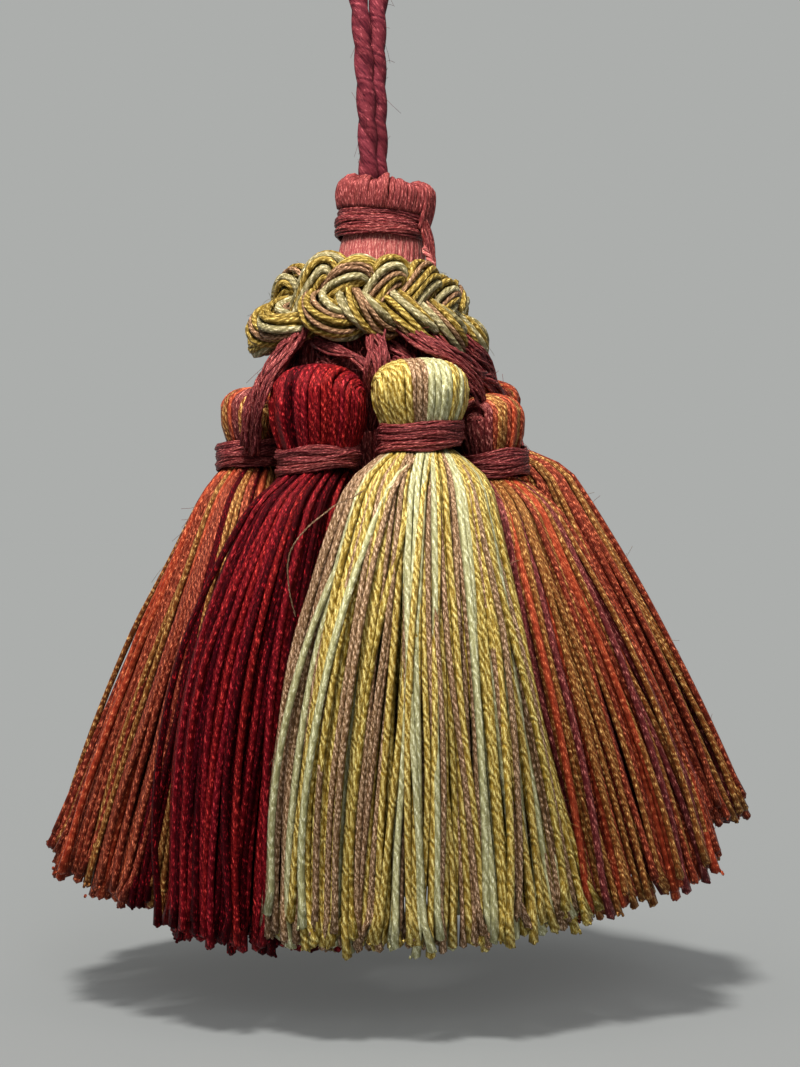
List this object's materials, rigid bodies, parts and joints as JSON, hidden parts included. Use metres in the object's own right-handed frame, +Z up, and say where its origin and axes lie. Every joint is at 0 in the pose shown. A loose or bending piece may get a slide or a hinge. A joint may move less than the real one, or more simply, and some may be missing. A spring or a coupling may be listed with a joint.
{
  "type": "key tassel with small tassels and hanging cord loop",
  "caption": "Key tassel: small yarn tassels in rust, red and gold hang in a ring under a plaited gimp collar and a bound head, on a doubled loop of twisted cord.",
  "frame": {"origin": "underside of the crown of the hanging loop, where a hook would bear", "axes": "+Z up along the hanging loop, +X to the right and -Y to the front when the tassel hangs"},
  "size_m": [0.0803, 0.0634, 0.1234],
  "materials": {
    "rose_cord": "two-ply twisted rayon cord, satin",
    "rose_thread": "fine rayon thread, wound, satin",
    "head_yarn": "rolled heading of rust-rose yarn, slightly fuzzy",
    "pink_floss": "smooth laid floss, satin",
    "gimp": "plaited bundles of gold, cream and brown yarn, satin",
    "rust_yarn": "plied rust, orange and mauve yarns, satin with a faint sparkle",
    "red_yarn": "plied crimson yarns, satin with a faint sparkle",
    "gold_yarn": "plied gold, cream and brown yarns, satin with a faint sparkle"
  },
  "bodies": {
    "root": {"hanging_loop": "rose_cord", "head_cap": "head_yarn", "head_binding": "rose_thread", "bell": "pink_floss", "collar": "gimp", "small_1_yarns": "rust_yarn", "small_1_binding": "rose_thread", "small_1_threads": "rose_thread", "small_2_yarns": "red_yarn", "small_2_binding": "rose_thread", "small_2_threads": "rose_thread", "small_3_yarns": "gold_yarn", "small_3_binding": "rose_thread", "small_3_threads": "rose_thread", "small_4_yarns": "rust_yarn", "small_4_binding": "rose_thread", "small_4_threads": "rose_thread", "small_5_yarns": "rust_yarn", "small_5_binding": "rose_thread", "small_5_threads": "rose_thread", "small_6_yarns": "red_yarn", "small_6_binding": "rose_thread", "small_6_threads": "rose_thread", "small_7_yarns": "gold_yarn", "small_7_binding": "rose_thread", "small_7_threads": "rose_thread", "small_8_yarns": "rust_yarn", "small_8_binding": "rose_thread", "small_8_threads": "rose_thread"}
  },
  "joints": []
}
